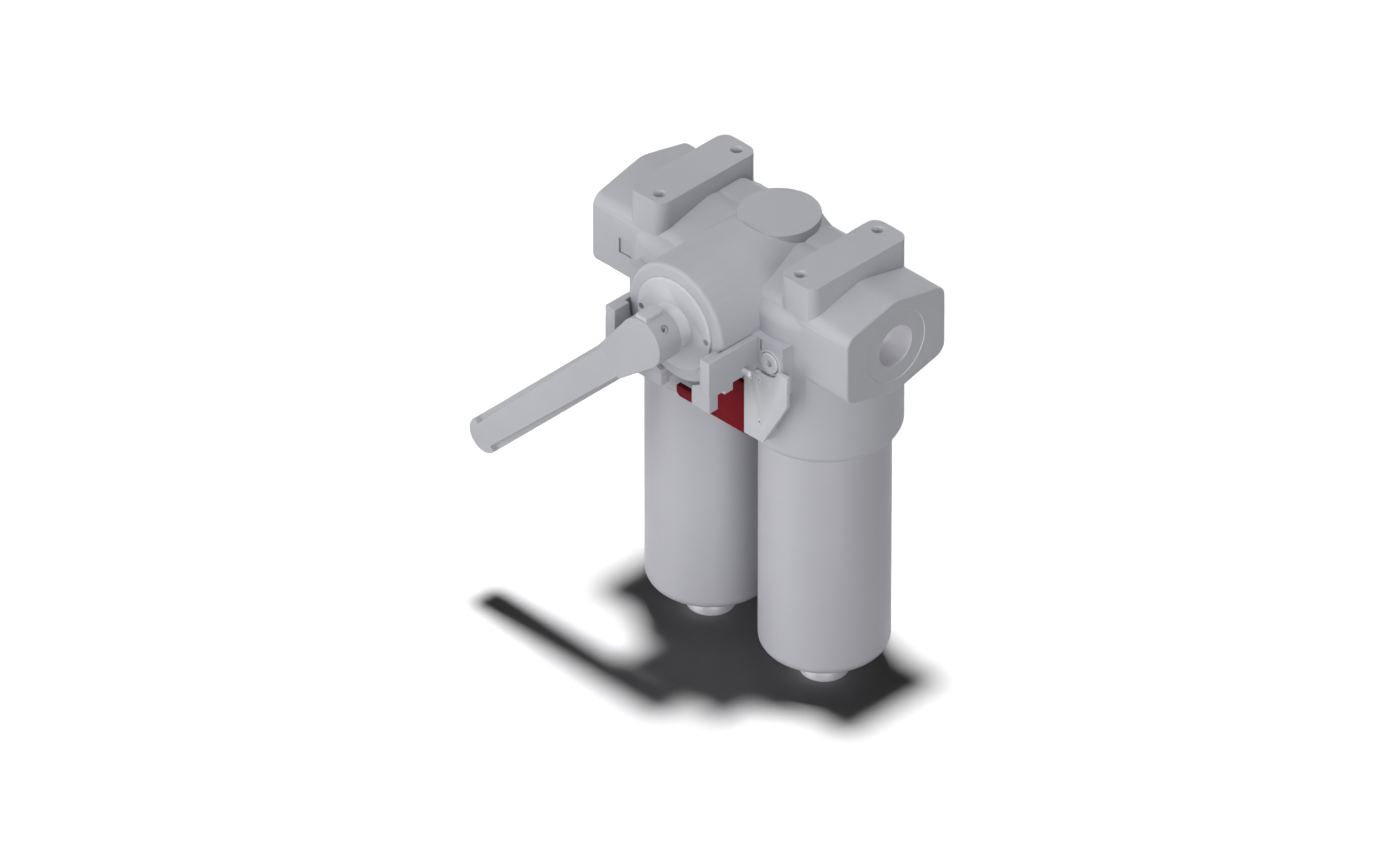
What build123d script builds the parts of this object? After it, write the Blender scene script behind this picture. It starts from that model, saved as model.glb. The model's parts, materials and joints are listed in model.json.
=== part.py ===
"""Duplex strainer: two screw-in bowls under one valve head, changed over by a front lever.

Millimetres. The origin is the centre of the four tapped mounting holes, on the mounting face.
+Z is up, +X runs from the inlet port to the outlet port, and -Y is the front, where the lever is.
"""
from build123d import *
from math import cos, pi, radians, sin, sqrt, tan
import os

# Mounting rails on top of the head
RAIL_X = 71.0
RAIL_WIDTH = 32.0
RAIL_LENGTH = 92.0
RAIL_CORNER = 8.0
RAIL_ROOT_Z = -38.0
MOUNT_HOLE_SPAN_X = 133.0
MOUNT_HOLE_SPAN_Y = 73.4
MOUNT_HOLE_R = 4.25
MOUNT_HOLE_DEPTH = 24.0

# Port block, a six-sided bar that runs through the head along X
PORT_FACE_X = 120.5
PORT_Z = -50.0
BLOCK_HALF_Y = 46.5
BLOCK_HALF_Z = 37.5
BLOCK_SLOPE_DEG = 13.5
BLOCK_CORNER = 10.0
BLOCK_CREST = 22.0
BLOCK_EDGE = 1.5
PORT_THREAD_R = 15.35
PORT_THREAD_DEPTH = 22.0
PORT_PASSAGE_R = 13.0
SPOT_FACE_R = 27.0
SPOT_FACE_DEPTH = 0.6

# Element chambers and the bowls that screw into them
BOWL_X = 54.0
BOWL_R = 45.0
NECK_STEP = 1.4
NECK_R = BOWL_R - NECK_STEP
NECK_GAP = 0.3
CHAMBER_WALL = 9.1
CHAMBER_R = NECK_R + NECK_GAP + CHAMBER_WALL
CHAMBER_TOP_Z = -25.0
CHAMBER_TOP_ROUND = 13.0
SKIRT_BOTTOM_Z = -144.5
SKIRT_ROUND = 7.5
CEILING_Z = -96.0
BOWL_WALL = 6.5
BOWL_FLOOR = 8.0
BOWL_BOTTOM_Z = -325.0
BOWL_ROUND = 9.0
NECK_TOP_GAP = 3.0
SEAT_GAP = 0.3
BOSS_R = 17.4
BOSS_LENGTH = 14.5
BOSS_BOTTOM_Z = BOWL_BOTTOM_Z - BOSS_LENGTH
RIB_COUNT = 4
RIB_WIDTH = 4.0
WEB_HALF_X = 16.0
WEB_HALF_Y = 30.0

# Drain plug at the foot of each bowl
DRAIN_THREAD_R = 10.4
DRAIN_HEAD_R = 17.0
DRAIN_HEAD_HEIGHT = 8.0
DRAIN_SEAL_HEIGHT = 1.0
DRAIN_SHANK = 16.0
DRAIN_HEX = 12.0
DRAIN_HEX_DEPTH = 7.0
RUN_GAP = 0.05

# Round seals
BOWL_SEAL_WIRE = 1.6
BOWL_SEAL_DROP = 8.0
SMALL_SEAL_WIRE = 1.1
GROOVE_SIDE_GAP = 0.3

# Filter element on its spigot
SPIGOT_R = 13.0
SPIGOT_BORE_R = 10.0
SPIGOT_LENGTH = 18.0
SPIGOT_PRESS_DEPTH = 10.0
ELEMENT_R = 33.0
ELEMENT_TOP_GAP = 6.0
CAP_THICK = 7.0
CAP_RIM = 1.6
CAP_POCKET = 3.0
CAP_SEAL_DROP = 2.2
CAP_COLLAR_LENGTH = 2.0
MEDIA_OUTER_R = 30.8
MEDIA_FOLD_DEPTH = 8.0
MEDIA_INNER_R = 18.0
PLEATS = 40
CORE_R = 17.4
CORE_WALL = 1.2
CORE_HOLE_R = 3.0
CORE_ROWS = 7
CORE_HOLES_PER_ROW = 6
ELEMENT_FOOT_GAP = 0.3
FOOT_HEIGHT = 12.0

# Changeover valve barrel along Y
VALVE_Z = -47.5
BARREL_R = 44.0
BARREL_FRONT_Y = -88.0
BARREL_BACK_Y = 32.0
BARREL_ROUND = 3.0
REAR_BOSS_R = 33.0
REAR_WALL = 5.5
REAR_BOSS_ROUND = 4.8
VALVE_BORE_R = 28.0
VALVE_BORE_FRONT_Y = -76.0
COVER_R = 34.25
COVER_PROUD = 1.8
COVER_ROUND = 1.2
COVER_FIT = 0.05
COVER_PIN_SPAN = 60.5
COVER_PIN_R = 2.3
COVER_PIN_DEPTH = 6.0
COLLAR_R = 16.6
COLLAR_FRONT_Y = -100.0
SPINDLE_R = 9.0
SPINDLE_FRONT_Y = -116.0
PLUG_CLEAR = 0.05
PLUG_FRONT_Y = -72.0
PLUG_BACK_Y = 36.0
BORE_END_GAP = 0.5
PLUG_GROOVE_DEPTH = 13.0
PLUG_GROOVE_HALF = 11.0
PLUG_PORT_Y = 22.0
TANG_THICK = 8.0
TANG_DEPTH = 10.0
WASHER_THICK = 1.5
WASHER_GAP = 0.1
COVER_SEAL_DROP = 4.0
CHAMBER_PASSAGE_R = 7.0
PASSAGE_START_X = 16.0
PASSAGE_START_DROP = 17.0
FEED_END_X = 34.0
DRAW_END_RISE = 16.0
POCKET_DEPTH = 10.0
POCKET_HALF = 10.0
POCKET_END_Y = 30.0

# Seat for a clogging indicator
INDICATOR_Y = 10.5
INDICATOR_R = 28.5
INDICATOR_Z = -5.5
INDICATOR_ROOT_Z = -45.0

# Changeover lever
LEVER_ANGLE_DEG = 225.0
LEVER_LENGTH = 233.0
LEVER_FRONT_Y = -121.0
LEVER_TIP_FRONT_Y = -115.5
LEVER_BACK_Y = -91.5
HUB_R = 18.4
HUB_BACK_Y = -100.5
BAR_WIDTH = 26.6
BAR_START = 16.0
FLARE_END = 42.0
REBATE_DEPTH = 4.0
RIB_HALF_TIP = 8.7
RIB_HALF_ROOT = 11.2
REBATE_TIP_GAP = 14.0
POINTER_WIDTH = 10.0
POINTER_LENGTH = 17.5
POINTER_HEIGHT = 3.0
POINTER_SEAT = 1.2
GRUB_SCREW_R = 3.0
GRUB_SCREW_Y = -110.5
GRUB_SCREW_SUNK = 2.0
GRUB_SOCKET_R = 1.7
GRUB_SOCKET_DEPTH = 3.0

# Stop brackets beside the barrel
STOP_INNER_X = 40.0
STOP_OUTER_X = 49.0
STOP_FRONT_Y = -105.0
STOP_TOP_Z = -48.5
STOP_CLEAR = 0.35
STOP_REAR_BOTTOM_Z = -74.0
BARREL_SIDE_GAP = 0.3
ARM_INNER_X = {"left": 11.0, "right": 18.0}
ARM_OUTER_X = 37.0
ARM_BOTTOM_Z = -103.0
ARM_ROOT_Z = -80.0
ARM_TOP_Z = -67.5
ARM_FRONT_Y = -90.5
ARM_BACK_Y = -82.5

# Pads, guard plates and the locking slide between them
PAD_FRONT_Y = -59.0
PAD_TOP_Z = -44.0
PAD_BOTTOM_Z = -87.0
PAD_OUTER_X = 72.0
PAD_ROOT_Y = -41.0
PLATE_THICK = 3.5
PLATE_INNER_X = 39.5
PLATE_FOOT_X = 57.0
PLATE_OUTER_X = 79.5
PLATE_BOTTOM_Z = -129.5
PLATE_SHOULDER_Z = -90.0
PLATE_TOP_Z = -66.5
PLATE_TOP_GAP = 0.3
PLATE_SCREWS = ((53.0, -80.0), (54.0, -113.5))
PLATE_SCREW_LENGTH = 10.0
SLIDE_THICK = 4.0
SLIDE_LEFT_X = -28.3
SLIDE_RIGHT_X = 48.0
SLIDE_TOP_Z = -91.5
SLIDE_BOTTOM_Z = -132.0
SLIDE_CORNER = 4.0
SLIDE_GAP = 0.3
LUG_STEP_X = 50.3
LUG_OUTER_X = 60.0
LUG_ROOT_Y = -44.0
LUG_BOTTOM_Z = -127.0

# Pressure-equalising valve in the right pad
KNOB_X = 60.5
KNOB_Z = -64.0
KNOB_R = 7.7
KNOB_RING_R = 10.0
KNOB_RECESS = 3.0
KNOB_PROUD = 1.6
KNOB_SOCKET_R = 2.6
NEEDLE_R = 4.0
NEEDLE_DEPTH = 12.0

# Locating pin in the right guard plate
PIN_X = 44.5
PIN_Z = -80.5
PIN_R = 2.5
PIN_PROUD = 7.0
PIN_DEPTH = 6.0

SCREW_R = 2.5
SCREW_HOLE_GAP = 0.3
SCREW_HEAD_R = 4.25
SCREW_HEAD_HEIGHT = 2.6
SCREW_SOCKET = 2.4

SIDES = {"left": -1, "right": 1}


def tube_z(radius, bottom, top, x=0.0, y=0.0):
    """Upright round bar between two heights."""
    return Pos(x, y, (bottom + top) / 2) * Cylinder(radius, top - bottom)


def tube_y(radius, front, back, x=0.0, z=VALVE_Z):
    """Round bar along Y between two depths."""
    return Pos(x, (front + back) / 2, z) * Rot(90, 0, 0) * Cylinder(radius, back - front)


def tube_x(radius, left, right, y=0.0, z=PORT_Z):
    """Round bar along X between two places."""
    return Pos((left + right) / 2, y, z) * Rot(0, 90, 0) * Cylinder(radius, right - left)


def block(x0, x1, y0, y1, z0, z1):
    """Box between two corners."""
    return Pos((x0 + x1) / 2, (y0 + y1) / 2, (z0 + z1) / 2) * Box(x1 - x0, y1 - y0, z1 - z0)


def bar_between(start, end, radius):
    """Round bar from one point to another."""
    a, b = Vector(*start), Vector(*end)
    axis = b - a
    plane = Plane(origin=a, z_dir=axis)
    return plane * Pos(0, 0, axis.length / 2) * Cylinder(radius, axis.length)


def seal_ring(radius, wire, z=0.0, x=0.0, y=0.0):
    """O-ring that lies flat around Z."""
    return Pos(x, y, z) * Torus(radius, wire)


def socket_screw_y(x, z, seat_y, length, way=1):
    """Cap screw on its seat, whose shank runs along +Y, or along -Y where way is -1."""
    head_y = seat_y - way * SCREW_HEAD_HEIGHT
    tip_y = seat_y + way * length
    head = tube_y(SCREW_HEAD_R, min(head_y, seat_y), max(head_y, seat_y), x, z)
    shank = tube_y(SCREW_R, min(seat_y, tip_y), max(seat_y, tip_y), x, z)
    hexagon = Plane(origin=(x, head_y, z), z_dir=(0, way, 0)) * RegularPolygon(SCREW_SOCKET, 6)
    return head + shank - extrude(hexagon, amount=SCREW_HEAD_HEIGHT * 0.7)


def outer_groove_y(radius, wire, middle, x=0.0, z=VALVE_Z):
    """Cutter for a seal groove around a round bar along Y."""
    half = wire + GROOVE_SIDE_GAP
    ring = tube_y(radius + 1, middle - half, middle + half, x, z)
    return ring - tube_y(radius - 2 * wire - RUN_GAP, middle - half, middle + half, x, z)


def ring_y(radius, wire, middle):
    """O-ring around the valve axis."""
    return Pos(0, middle, VALVE_Z) * Rot(90, 0, 0) * Torus(radius, wire)


# Head casting

def port_block():
    """The six-sided bar between the port faces, with rounded corners and crests."""
    rise = BLOCK_HALF_Y * tan(radians(BLOCK_SLOPE_DEG))
    side = BLOCK_HALF_Z - rise
    points = [
        (0, BLOCK_HALF_Z), (BLOCK_HALF_Y, side), (BLOCK_HALF_Y, -side),
        (0, -BLOCK_HALF_Z), (-BLOCK_HALF_Y, -side), (-BLOCK_HALF_Y, side),
    ]
    outline = make_face(Polyline(*points, close=True))
    corners = [v for v in outline.vertices() if abs(v.X) > BLOCK_HALF_Y / 2]
    outline = fillet(corners, BLOCK_CORNER)
    crests = [v for v in outline.vertices() if abs(v.X) < 1e-6]
    outline = fillet(crests, BLOCK_CREST)
    bar = extrude(Plane(origin=(-PORT_FACE_X, 0, PORT_Z), x_dir=(0, 1, 0), z_dir=(1, 0, 0)) * outline,
                  amount=2 * PORT_FACE_X)
    ends = [e for e in bar.edges() if abs(abs(e.center().X) - PORT_FACE_X) < 1e-6]
    return fillet(ends, BLOCK_EDGE)


def chamber(side):
    """Round element chamber with a rolled skirt edge and a domed shoulder."""
    body = tube_z(CHAMBER_R, SKIRT_BOTTOM_Z, CHAMBER_TOP_Z, side * BOWL_X)
    rims = body.edges().filter_by(GeomType.CIRCLE).sort_by(Axis.Z)
    body = fillet(rims[-1], CHAMBER_TOP_ROUND)
    rims = body.edges().filter_by(GeomType.CIRCLE).sort_by(Axis.Z)
    return fillet(rims[0], SKIRT_ROUND)


def rail(side):
    """Flat-topped mounting rail with round ends."""
    bar = block(side * RAIL_X - RAIL_WIDTH / 2, side * RAIL_X + RAIL_WIDTH / 2,
                -RAIL_LENGTH / 2, RAIL_LENGTH / 2, RAIL_ROOT_Z, 0)
    return fillet(bar.edges().filter_by(Axis.Z), RAIL_CORNER)


def barrel():
    """Valve barrel along Y, with a rolled front rim and a domed rear end."""
    body = tube_y(BARREL_R, BARREL_FRONT_Y, BARREL_BACK_Y)
    rims = body.edges().filter_by(GeomType.CIRCLE).sort_by(Axis.Y)
    body = fillet(rims[0], BARREL_ROUND)
    end = tube_y(REAR_BOSS_R, BARREL_BACK_Y - 1, PLUG_BACK_Y + BORE_END_GAP + REAR_WALL)
    return body + fillet(end.edges().filter_by(GeomType.CIRCLE).sort_by(Axis.Y)[-1], REAR_BOSS_ROUND)


def pad_solid(side):
    """Cast pad on the front of a chamber that carries the guard plate."""
    x0, x1 = sorted((side * STOP_INNER_X, side * PAD_OUTER_X))
    return block(x0, x1, PAD_FRONT_Y, PAD_ROOT_Y, PAD_BOTTOM_Z, PAD_TOP_Z)


def mount_hole_places():
    """The four places of the mounting holes in plan."""
    half_x, half_y = MOUNT_HOLE_SPAN_X / 2, MOUNT_HOLE_SPAN_Y / 2
    return [(sx * half_x, sy * half_y) for sx in (-1, 1) for sy in (-1, 1)]


def plate_screw_places(side):
    """Where the two guard plate screws go, as (x, z)."""
    return [(side * x, z) for x, z in PLATE_SCREWS]


def head_casting():
    """Valve head: port block, chambers, rails, barrel, pads and all their passages."""
    body = port_block()
    for side in SIDES.values():
        body += chamber(side)
        body += rail(side)
        body += pad_solid(side)
        body += guide_lug(side)
    body += block(-WEB_HALF_X, WEB_HALF_X, -WEB_HALF_Y, WEB_HALF_Y, SKIRT_BOTTOM_Z + SKIRT_ROUND, PORT_Z)
    body += barrel()
    body += tube_z(INDICATOR_R, INDICATOR_ROOT_Z, INDICATOR_Z, 0, INDICATOR_Y)
    body -= tube_z(INDICATOR_R, INDICATOR_Z, 5, 0, INDICATOR_Y)

    for side in SIDES.values():
        x = side * BOWL_X
        body -= tube_z(NECK_R + NECK_GAP, SKIRT_BOTTOM_Z - 1, CEILING_Z, x)
        body -= tube_z(SPIGOT_R, CEILING_Z - 1, CEILING_Z + SPIGOT_PRESS_DEPTH, x)
        body -= tube_z(SPIGOT_BORE_R, CEILING_Z, CEILING_Z + SPIGOT_PRESS_DEPTH + 6, x)
        start_x, start_z = side * PASSAGE_START_X, VALVE_Z - PASSAGE_START_DROP
        draw_end = (x, 0, CEILING_Z + DRAW_END_RISE)
        body -= bar_between((start_x, PLUG_PORT_Y, start_z), draw_end, CHAMBER_PASSAGE_R)
        body -= bar_between((start_x, -PLUG_PORT_Y, start_z), (side * FEED_END_X, -PLUG_PORT_Y, CEILING_Z - 3),
                            CHAMBER_PASSAGE_R)
        face = side * PORT_FACE_X
        mouth = face - side * PORT_THREAD_DEPTH
        body -= tube_x(PORT_THREAD_R, min(face, mouth), max(face, mouth))
        inner = side * (VALVE_BORE_R - 3)
        body -= tube_x(PORT_PASSAGE_R, min(inner, face), max(inner, face))
        spot = face - side * SPOT_FACE_DEPTH
        body -= tube_x(SPOT_FACE_R, min(face, spot), max(face, spot))
        pocket = sorted((side * (VALVE_BORE_R - 4), side * (VALVE_BORE_R + POCKET_DEPTH)))
        depth = sorted((0.0, side * POCKET_END_Y))
        body -= block(pocket[0], pocket[1], depth[0], depth[1], PORT_Z - POCKET_HALF, PORT_Z + POCKET_HALF)
        for px, pz in plate_screw_places(side):
            body -= tube_y(SCREW_R, PAD_FRONT_Y - 1, PAD_FRONT_Y + PLATE_SCREW_LENGTH - PLATE_THICK, px, pz)
    body -= tube_y(PIN_R, PAD_FRONT_Y - 1, PAD_FRONT_Y + PIN_DEPTH, PIN_X, PIN_Z)
    for hx, hy in mount_hole_places():
        body -= tube_z(MOUNT_HOLE_R, -MOUNT_HOLE_DEPTH, 1, hx, hy)

    body -= tube_y(VALVE_BORE_R, VALVE_BORE_FRONT_Y - 1, PLUG_BACK_Y + BORE_END_GAP)
    body -= tube_y(COVER_R + COVER_FIT, BARREL_FRONT_Y - 1, VALVE_BORE_FRONT_Y)
    body -= tube_y(KNOB_RING_R, PAD_FRONT_Y - 1, PAD_FRONT_Y + KNOB_RECESS, KNOB_X, KNOB_Z)
    needle_end = PAD_FRONT_Y + KNOB_RECESS + NEEDLE_DEPTH + GROOVE_SIDE_GAP
    return body - tube_y(NEEDLE_R + RUN_GAP, PAD_FRONT_Y, needle_end, KNOB_X, KNOB_Z)


def guide_lug(side):
    """Low cast lug behind the locking slide, with a step that carries the guard plate's foot."""
    x0, x1 = sorted((side * PLATE_INNER_X, side * (LUG_STEP_X + 1)))
    behind = block(x0, x1, PAD_FRONT_Y + SLIDE_THICK + 2 * SLIDE_GAP, LUG_ROOT_Y, LUG_BOTTOM_Z, SLIDE_TOP_Z)
    x0, x1 = sorted((side * LUG_STEP_X, side * LUG_OUTER_X))
    return behind + block(x0, x1, PAD_FRONT_Y, LUG_ROOT_Y, LUG_BOTTOM_Z, SLIDE_TOP_Z)


# Bowls, elements and drains

def bowl(side):
    """Screw-in bowl with its neck, rolled foot, drain boss and the ribs that carry the element."""
    x = side * BOWL_X
    shoulder = SKIRT_BOTTOM_Z - SEAT_GAP
    outside = tube_z(BOWL_R, BOWL_BOTTOM_Z, shoulder, x)
    rims = outside.edges().filter_by(GeomType.CIRCLE).sort_by(Axis.Z)
    outside = fillet(rims[0], BOWL_ROUND)
    outside += tube_z(NECK_R, shoulder - 1, CEILING_Z - NECK_TOP_GAP, x)
    outside += tube_z(BOSS_R, BOSS_BOTTOM_Z, BOWL_BOTTOM_Z + 1, x)
    floor = BOWL_BOTTOM_Z + BOWL_FLOOR
    inner_r = BOWL_R - BOWL_WALL
    inside = tube_z(inner_r, floor, CEILING_Z, x)
    rims = inside.edges().filter_by(GeomType.CIRCLE).sort_by(Axis.Z)
    inside = fillet(rims[0], BOWL_ROUND - 2)
    shell = outside - inside
    ribs = None
    for index in range(RIB_COUNT):
        rib = block(DRAIN_THREAD_R + 2, inner_r - 1, -RIB_WIDTH / 2, RIB_WIDTH / 2, floor - 1, rib_top())
        rib = Pos(x, 0, 0) * Rot(0, 0, 45 + 360 * index / RIB_COUNT) * rib
        ribs = rib if ribs is None else ribs + rib
    shell += ribs & tube_z(inner_r - 1, floor - 1, CEILING_Z, x)
    seal_z = CEILING_Z - NECK_TOP_GAP - BOWL_SEAL_DROP
    groove_half = BOWL_SEAL_WIRE + GROOVE_SIDE_GAP
    ring = tube_z(NECK_R + 1, seal_z - groove_half, seal_z + groove_half, x)
    groove_r = bowl_seal_r() - BOWL_SEAL_WIRE - RUN_GAP
    ring -= tube_z(groove_r, seal_z - groove_half - 1, seal_z + groove_half + 1, x)
    shell -= ring
    return shell - tube_z(DRAIN_THREAD_R + RUN_GAP, BOSS_BOTTOM_Z - 1, floor + 1, x)


def bowl_seal_r():
    """Centreline radius of the bowl seal, whose outside just clears the chamber wall."""
    return NECK_R + NECK_GAP - RUN_GAP - BOWL_SEAL_WIRE


def bowl_seal(side):
    """Seal in the groove near the top of the bowl's neck."""
    return seal_ring(bowl_seal_r(), BOWL_SEAL_WIRE, CEILING_Z - NECK_TOP_GAP - BOWL_SEAL_DROP, side * BOWL_X)


def rib_top():
    """Height at which the element's foot rests."""
    return BOWL_BOTTOM_Z + BOWL_FLOOR + FOOT_HEIGHT


def element_top():
    """Top face of the element's upper cap."""
    return CEILING_Z - ELEMENT_TOP_GAP


def element_bottom():
    """Bottom face of the element's lower cap."""
    return rib_top() + ELEMENT_FOOT_GAP


def cap_bore_r():
    """Bore of the upper cap, which slides over the spigot."""
    return SPIGOT_R + RUN_GAP


def spigot(side):
    """Tube pressed into the chamber ceiling that the element pushes onto."""
    x = side * BOWL_X
    top = CEILING_Z + SPIGOT_PRESS_DEPTH
    tube = tube_z(SPIGOT_R, CEILING_Z - SPIGOT_LENGTH, top, x)
    rims = tube.edges().filter_by(GeomType.CIRCLE).sort_by(Axis.Z)
    tube = chamfer(rims[0], 1.2)
    return tube - tube_z(SPIGOT_BORE_R, CEILING_Z - SPIGOT_LENGTH - 1, top + 1, x)


def top_cap(side):
    """Upper element cap: a rimmed disc with a collar around the spigot and a seal groove."""
    x = side * BOWL_X
    top = element_top()
    cap = tube_z(ELEMENT_R, top - CAP_THICK, top, x)
    cap = fillet(cap.edges().filter_by(GeomType.CIRCLE).sort_by(Axis.Z)[-1], CAP_RIM)
    cap -= tube_z(MEDIA_OUTER_R + RUN_GAP, top - CAP_THICK - 1, top - CAP_THICK + CAP_POCKET, x)
    cap += tube_z(CORE_R - CORE_WALL - RUN_GAP, top - CAP_THICK - CAP_COLLAR_LENGTH, top - CAP_POCKET, x)
    cap -= tube_z(cap_bore_r(), top - CAP_THICK - CAP_COLLAR_LENGTH - 1, top + 1, x)
    groove_half = SMALL_SEAL_WIRE + GROOVE_SIDE_GAP
    groove_r = cap_bore_r() + 2 * SMALL_SEAL_WIRE + RUN_GAP
    return cap - tube_z(groove_r, cap_seal_z() - groove_half, cap_seal_z() + groove_half, x)


def cap_seal_z():
    """Height of the seal in the upper cap."""
    return element_top() - CAP_SEAL_DROP


def cap_seal(side):
    """Seal between the upper cap and the spigot."""
    radius = SPIGOT_R + RUN_GAP + SMALL_SEAL_WIRE
    return seal_ring(radius, SMALL_SEAL_WIRE, cap_seal_z(), side * BOWL_X)


def bottom_cap(side):
    """Closed lower element cap with a centring foot."""
    x = side * BOWL_X
    bottom = element_bottom()
    cap = tube_z(ELEMENT_R, bottom, bottom + CAP_THICK, x)
    cap = fillet(cap.edges().filter_by(GeomType.CIRCLE).sort_by(Axis.Z)[0], CAP_RIM)
    return cap - tube_z(MEDIA_OUTER_R + RUN_GAP, bottom + CAP_THICK - CAP_POCKET, bottom + CAP_THICK + 1, x)


def media_span():
    """Lowest and highest height of the folded media, inside the caps' rims."""
    low = element_bottom() + CAP_THICK - CAP_POCKET
    return low, element_top() - CAP_THICK + CAP_POCKET


def element_media(side):
    """Folded filter media: a star of pleats around the core."""
    low, high = media_span()
    points = []
    for index in range(2 * PLEATS):
        radius = MEDIA_OUTER_R if index % 2 == 0 else MEDIA_OUTER_R - MEDIA_FOLD_DEPTH
        angle = pi * index / PLEATS
        points.append((radius * cos(angle), radius * sin(angle)))
    star = make_face(Polyline(*points, close=True)) - Circle(MEDIA_INNER_R)
    return extrude(Pos(side * BOWL_X, 0, low) * star, amount=high - low)


def element_core(side):
    """Perforated support tube inside the media."""
    low, high = media_span()
    x = side * BOWL_X
    core = tube_z(CORE_R, low, high, x) - tube_z(CORE_R - CORE_WALL, low - 1, high + 1, x)
    pitch = (high - low) / CORE_ROWS
    for row in range(CORE_ROWS):
        z = low + pitch * (row + 0.5)
        for index in range(CORE_HOLES_PER_ROW // 2):
            turn = 180 * (index + 0.5 * (row % 2)) / (CORE_HOLES_PER_ROW // 2)
            core -= Pos(x, 0, z) * Rot(0, 0, turn) * Rot(0, 90, 0) * Cylinder(CORE_HOLE_R, 3 * CORE_R)
    return core


def drain_plug(side):
    """Hexagon-socket plug that closes the bowl's foot."""
    x = side * BOWL_X
    top = BOSS_BOTTOM_Z - DRAIN_SEAL_HEIGHT
    head = tube_z(DRAIN_HEAD_R, top - DRAIN_HEAD_HEIGHT, top, x)
    head = fillet(head.edges().filter_by(GeomType.CIRCLE).sort_by(Axis.Z)[0], 1.5)
    head += tube_z(DRAIN_THREAD_R, top - 1, BOSS_BOTTOM_Z + DRAIN_SHANK, x)
    hexagon = Pos(x, 0, top - DRAIN_HEAD_HEIGHT) * RegularPolygon(DRAIN_HEX / 2, 6, major_radius=False)
    return head - extrude(hexagon, amount=DRAIN_HEX_DEPTH)


def drain_seal(side):
    """Flat washer under the drain plug's head."""
    x = side * BOWL_X
    low = BOSS_BOTTOM_Z - DRAIN_SEAL_HEIGHT
    washer = tube_z(DRAIN_HEAD_R - 1, low, BOSS_BOTTOM_Z, x)
    return washer - tube_z(DRAIN_THREAD_R + RUN_GAP, low - 1, BOSS_BOTTOM_Z + 1, x)


# Changeover valve

def cover_face_y():
    """Front face of the valve cover."""
    return BARREL_FRONT_Y - COVER_PROUD


def front_cover():
    """Round cover with two pin-wrench holes and the collar that guides the spindle."""
    face = cover_face_y()
    disc = tube_y(COVER_R, face, VALVE_BORE_FRONT_Y)
    disc = fillet(disc.edges().filter_by(GeomType.CIRCLE).sort_by(Axis.Y)[0], COVER_ROUND)
    disc += tube_y(COLLAR_R, COLLAR_FRONT_Y, face + 1)
    nose_end = PLUG_FRONT_Y - WASHER_THICK - 2 * WASHER_GAP
    disc += tube_y(VALVE_BORE_R - COVER_FIT, VALVE_BORE_FRONT_Y - 1, nose_end)
    for sign in (-1, 1):
        disc -= tube_y(COVER_PIN_R, face - 1, face + COVER_PIN_DEPTH, sign * COVER_PIN_SPAN / 2)
    disc -= outer_groove_y(COVER_R, SMALL_SEAL_WIRE, cover_seal_y())
    return disc - tube_y(SPINDLE_R + RUN_GAP, COLLAR_FRONT_Y - 1, nose_end + 1)


def cover_seal_y():
    """Depth of the seal around the cover's rim."""
    return VALVE_BORE_FRONT_Y - COVER_SEAL_DROP


def cover_seal():
    """Seal around the cover's rim."""
    return ring_y(COVER_R - SMALL_SEAL_WIRE, SMALL_SEAL_WIRE, cover_seal_y())


def thrust_washer():
    """Washer that the plug turns against."""
    back = PLUG_FRONT_Y - WASHER_GAP
    ring = tube_y(VALVE_BORE_R - 2, back - WASHER_THICK, back)
    return ring - tube_y(SPINDLE_R + RUN_GAP, back - WASHER_THICK - 1, back + 1)


def arc_groove(y, start_deg, span_deg):
    """Cutter for a round groove in the plug that joins passages along an arc."""
    ring = tube_y(VALVE_BORE_R + 1, y - PLUG_GROOVE_HALF, y + PLUG_GROOVE_HALF)
    ring -= tube_y(VALVE_BORE_R - PLUG_GROOVE_DEPTH, y - PLUG_GROOVE_HALF - 1, y + PLUG_GROOVE_HALF + 1)
    reach = 3 * VALVE_BORE_R
    steps = 4
    points = [(0, 0)]
    for index in range(steps + 1):
        angle = radians(start_deg + span_deg * index / steps)
        points.append((reach * cos(angle), reach * sin(angle)))
    wedge = make_face(Polyline(*points, close=True))
    plane = Plane(origin=(0, y + PLUG_GROOVE_HALF + 1, VALVE_Z), x_dir=(1, 0, 0), z_dir=(0, -1, 0))
    return ring & extrude(plane * wedge, amount=2 * PLUG_GROOVE_HALF + 2)


def valve_plug():
    """Changeover plug: the front groove feeds one chamber and the rear groove empties it."""
    plug = tube_y(VALVE_BORE_R - PLUG_CLEAR, PLUG_FRONT_Y, PLUG_BACK_Y)
    plug -= arc_groove(-PLUG_PORT_Y, 165, 95)
    plug -= arc_groove(PLUG_PORT_Y, 205, 170)
    slot = block(-SPINDLE_R - 1, SPINDLE_R + 1, PLUG_FRONT_Y - 1, PLUG_FRONT_Y + TANG_DEPTH,
                 VALVE_Z - TANG_THICK / 2 - RUN_GAP, VALVE_Z + TANG_THICK / 2 + RUN_GAP)
    return plug - slot


def spindle():
    """Spindle whose tang drives the plug and whose front end carries the lever."""
    shaft = tube_y(SPINDLE_R, SPINDLE_FRONT_Y, PLUG_FRONT_Y - WASHER_GAP)
    tang = block(-SPINDLE_R, SPINDLE_R, PLUG_FRONT_Y - 1, PLUG_FRONT_Y + TANG_DEPTH - GROOVE_SIDE_GAP,
                 VALVE_Z - TANG_THICK / 2, VALVE_Z + TANG_THICK / 2)
    tang &= tube_y(SPINDLE_R, PLUG_FRONT_Y - 2, PLUG_FRONT_Y + TANG_DEPTH)
    return shaft + tang - outer_groove_y(SPINDLE_R, SMALL_SEAL_WIRE, spindle_seal_y())


def spindle_seal_y():
    """Depth of the spindle's seal, in the middle of the collar."""
    return (COLLAR_FRONT_Y + cover_face_y()) / 2


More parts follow.
